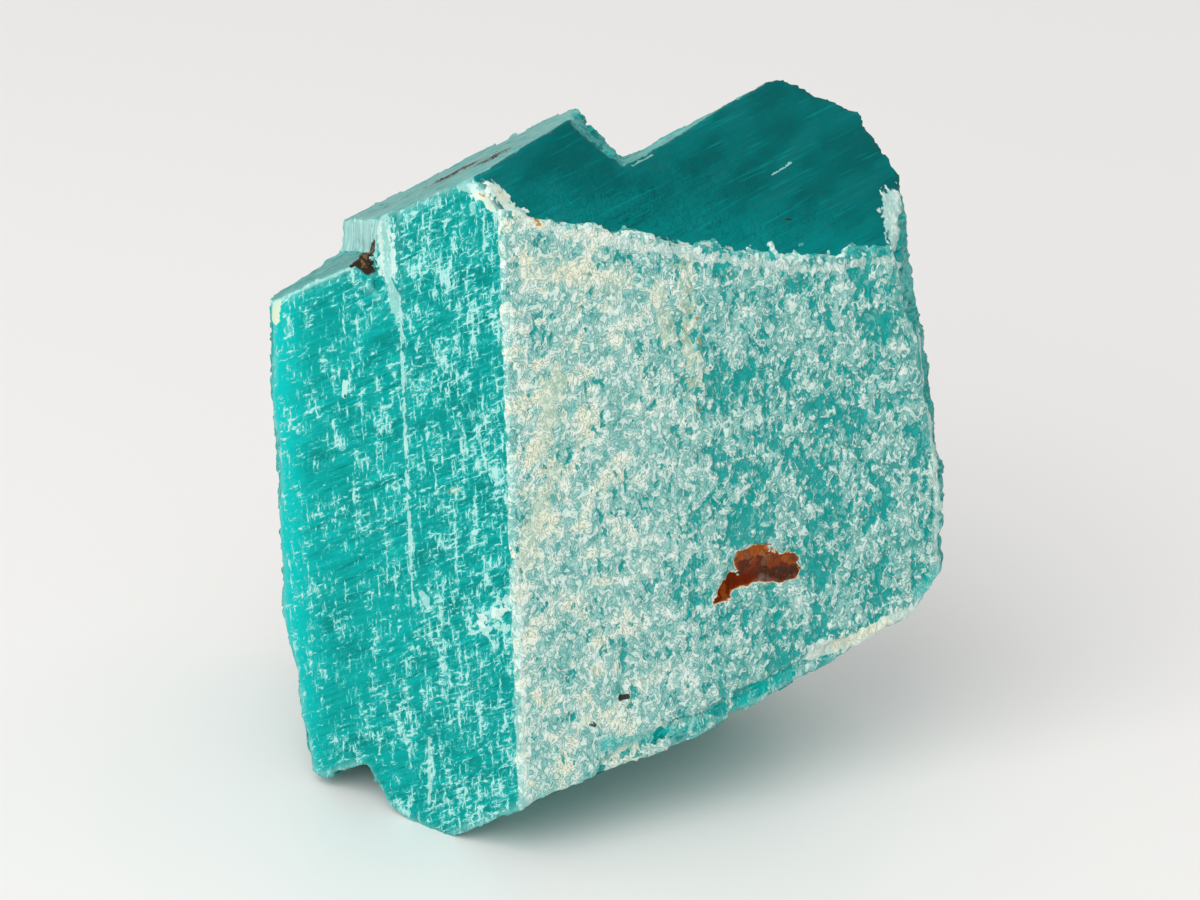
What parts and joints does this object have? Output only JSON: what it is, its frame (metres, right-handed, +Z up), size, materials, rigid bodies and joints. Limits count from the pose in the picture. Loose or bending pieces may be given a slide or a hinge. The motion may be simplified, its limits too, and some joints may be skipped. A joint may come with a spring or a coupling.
{
  "type": "rough amazonite",
  "caption": "Broken crystal of green microcline with flat prism faces, cleavage terraces and a pale albite crust, standing on a small flat spot.",
  "frame": {"origin": "middle of the flat spot that the stone rests on", "axes": "+Z up from the resting flat; -Y is the front, where the two prism faces meet at an upright edge; +X runs to the right along the crusted prism face"},
  "size_m": [0.0526, 0.0371, 0.0579],
  "materials": {
    "amazonite": "satin cleavage faces, mottled turquoise and white, duller on the crust"
  },
  "bodies": {
    "root": {"amazonite_crystal": "amazonite"}
  },
  "joints": []
}
